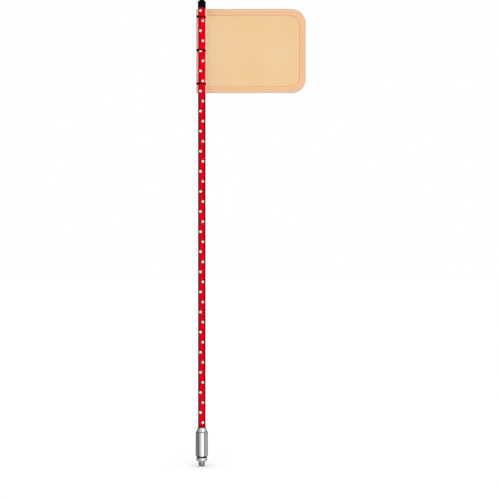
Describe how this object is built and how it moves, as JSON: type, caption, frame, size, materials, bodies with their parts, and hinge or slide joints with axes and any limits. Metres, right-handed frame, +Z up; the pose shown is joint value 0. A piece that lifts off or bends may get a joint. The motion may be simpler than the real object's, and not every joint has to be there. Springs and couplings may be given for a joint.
{
  "type": "LED light whip with warning flag",
  "caption": "Slim red light tube with staggered LEDs on a hexagonal metal plug base, with a cable-tied high-visibility mesh flag behind its top.",
  "frame": {"origin": "on the pole's axis at the end of the plug's nose, where the plug bottoms in the vehicle's socket", "axes": "+Z up the pole, +X from the pole towards the flag's free edge, -Y the front of the whip"},
  "size_m": [0.3654, 0.0368, 1.5496],
  "materials": {
    "base_metal": "turned and polished",
    "plug_metal": "turned satin",
    "seal_rubber": "smooth",
    "contact_brass": "plated",
    "spring_steel": "drawn wire",
    "insulator_nylon": "turned",
    "lens_red": "clear tinted polycarbonate",
    "core_fibreglass": "pultruded",
    "led_board": "solder mask with white LEDs",
    "driver_laminate": "solder mask",
    "lead_red": "extruded",
    "lead_black": "extruded",
    "holder_plastic": "moulded",
    "cap_rubber": "moulded satin",
    "flag_mesh": "open PVC-coated mesh",
    "flag_tape": "woven tape, double stitched",
    "tie_nylon": "moulded nylon"
  },
  "bodies": {
    "whip": {"hex_base_body": "base_metal", "plug_spigot": "plug_metal", "o_ring_seal": "seal_rubber", "contact_insulator": "insulator_nylon", "contact_terminal": "contact_brass", "tube_seal_ring": "seal_rubber", "driver_board": "driver_laminate", "supply_lead_red": "lead_red", "supply_lead_black": "lead_black", "board_lead_front": "lead_red", "board_lead_back": "lead_black", "lens_tube": "lens_red", "core_rod": "core_fibreglass", "core_foot": "holder_plastic", "core_head": "holder_plastic", "led_board_front_lower": "led_board", "led_board_front_middle": "led_board", "led_board_front_upper": "led_board", "led_board_back_lower": "led_board", "led_board_back_middle": "led_board", "led_board_back_upper": "led_board", "end_cap": "cap_rubber"},
    "contact": {"contact_pin": "contact_brass", "contact_spring": "spring_steel"},
    "flag_hoist": {"flag_hoist_band": "flag_tape", "cable_tie_top": "tie_nylon", "cable_tie_middle": "tie_nylon", "cable_tie_bottom": "tie_nylon"},
    "flag_fly": {"flag_mesh_panel": "flag_mesh", "flag_hem_tape": "flag_tape"}
  },
  "joints": [
    {"name": "contact_press", "type": "slide", "parent": "whip", "child": "contact", "axis": [0, 0, 1], "range_m": [0, 0.002], "stiffness_N_per_m": 1200, "deforming": ["contact_spring"]},
    {"name": "flag_swivel", "type": "hinge", "parent": "whip", "child": "flag_hoist", "pos_m": [0, 0, 1.378], "axis": [0, 0, 1], "continuous": true},
    {"name": "flag_fold", "type": "hinge", "parent": "flag_hoist", "child": "flag_fly", "pos_m": [0.0154, 0.0136, 1.378], "axis": [0, 0, 1], "range_deg": [-80, 80]}
  ]
}
